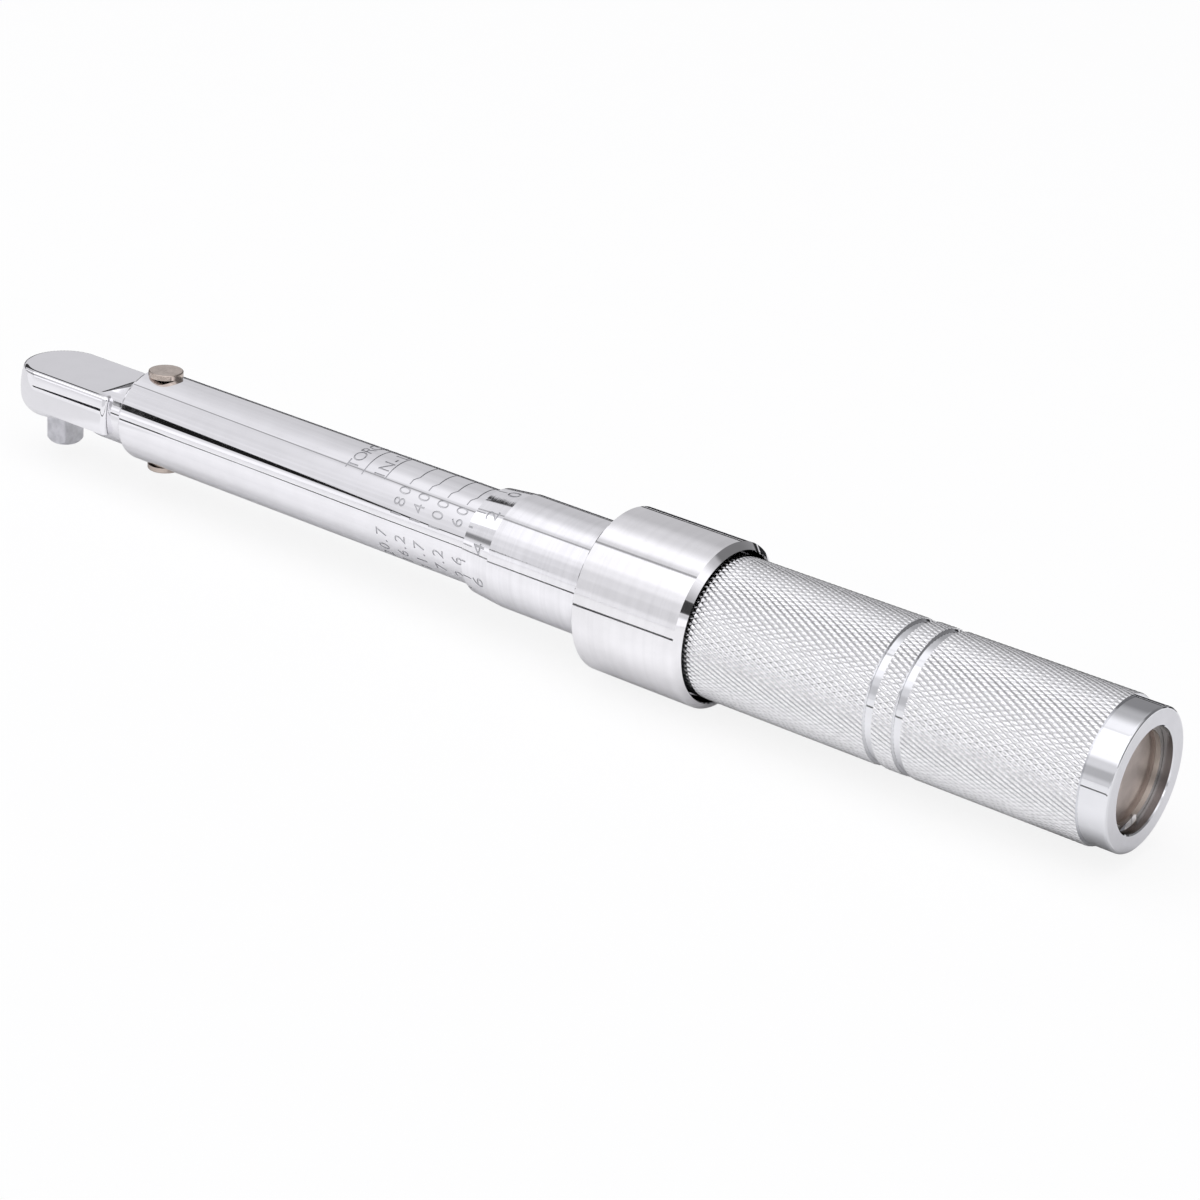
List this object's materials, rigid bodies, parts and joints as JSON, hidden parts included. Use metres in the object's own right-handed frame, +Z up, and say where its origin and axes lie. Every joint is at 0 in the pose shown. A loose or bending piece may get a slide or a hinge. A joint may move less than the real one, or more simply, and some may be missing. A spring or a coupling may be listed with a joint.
{
  "type": "click torque wrench",
  "caption": "Slim click-type torque wrench: fixed square-drive head pinned in a tube, micrometer thimble with knurled grip, and a pull-back lock ring.",
  "frame": {"origin": "centre of the square drive's seating face, under the head", "axes": "+X from the head to the handle, +Z up, away from the square drive; the tube's axis is 6 mm above the origin"},
  "size_m": [0.299, 0.0356, 0.0356],
  "materials": {
    "polished_chrome": "polished chrome plate",
    "satin_chrome": "satin turned chrome plate",
    "knurled_chrome": "diamond-knurled chrome plate",
    "drive_steel": "matte hardened steel",
    "pin_nickel": "satin nickel plate",
    "inner_steel": "ground steel",
    "spring_steel": "dark tempered steel",
    "ball_steel": "polished hardened steel",
    "nut_brass": "turned brass",
    "plug_zinc": "dull passivated plate",
    "ring_spring": "plain spring steel"
  },
  "bodies": {
    "frame": {"tube": "polished_chrome", "pivot_pin": "pin_nickel", "pivot_screw": "pin_nickel", "adjusting_nut": "nut_brass", "nut_pin_left": "inner_steel", "nut_pin_right": "inner_steel"},
    "head": {"head": "polished_chrome", "square_drive": "drive_steel", "detent_spring": "spring_steel"},
    "detent_ball": {"detent_ball": "ball_steel"},
    "plunger": {"plunger": "inner_steel", "main_spring": "spring_steel"},
    "tilt_block": {"tilt_block": "inner_steel"},
    "seat": {"spring_seat": "inner_steel", "thrust_ball": "ball_steel"},
    "handle": {"handle": "knurled_chrome", "adjusting_screw": "inner_steel", "lock_nut": "inner_steel", "end_plug": "plug_zinc", "end_ring": "ring_spring", "stop_clip": "ring_spring", "lock_spring": "spring_steel", "lock_ball_1": "ball_steel", "lock_ball_2": "ball_steel", "lock_ball_3": "ball_steel", "lock_ball_4": "ball_steel"},
    "lock_ring": {"lock_ring": "satin_chrome"}
  },
  "joints": [
    {"name": "head_click", "type": "hinge", "parent": "frame", "child": "head", "pos_m": [0.0332, 0, 0.006], "axis": [0, 0, 1], "range_deg": [-2.5, 2.5], "stiffness_Nm_per_rad": 4},
    {"name": "detent_press", "type": "slide", "parent": "head", "child": "detent_ball", "axis": [0, -1, 0], "range_m": [0, 0.0007], "stiffness_N_per_m": 200, "springref_m": -0.001, "deforming": ["detent_spring"]},
    {"name": "plunger_slide", "type": "slide", "parent": "frame", "child": "plunger", "axis": [1, 0, 0], "range_m": [0, 0.001], "stiffness_N_per_m": 500, "springref_m": -0.002},
    {"name": "block_tilt", "type": "hinge", "parent": "plunger", "child": "tilt_block", "pos_m": [0.0792, 0, 0.006], "axis": [0, 0, 1], "range_deg": [-17, 17]},
    {"name": "handle_turn", "type": "hinge", "parent": "seat", "child": "handle", "pos_m": [0.2, 0, 0.006], "axis": [-1, 0, 0], "range_deg": [0, 2880]},
    {"name": "seat_slide", "type": "slide", "parent": "frame", "child": "seat", "axis": [-1, 0, 0], "range_m": [0, 0.022], "deforming": ["main_spring"]},
    {"name": "lock_ring_slide", "type": "slide", "parent": "handle", "child": "lock_ring", "axis": [1, 0, 0], "range_m": [0, 0.005], "stiffness_N_per_m": 600, "springref_m": -0.01, "deforming": ["lock_spring"]}
  ],
  "couplings": [
    {"joint": "block_tilt", "follows": "head_click", "ratio": -6.6667},
    {"joint": "seat_slide", "follows": "handle_turn", "m_per_rad": 0.00043768}
  ]
}
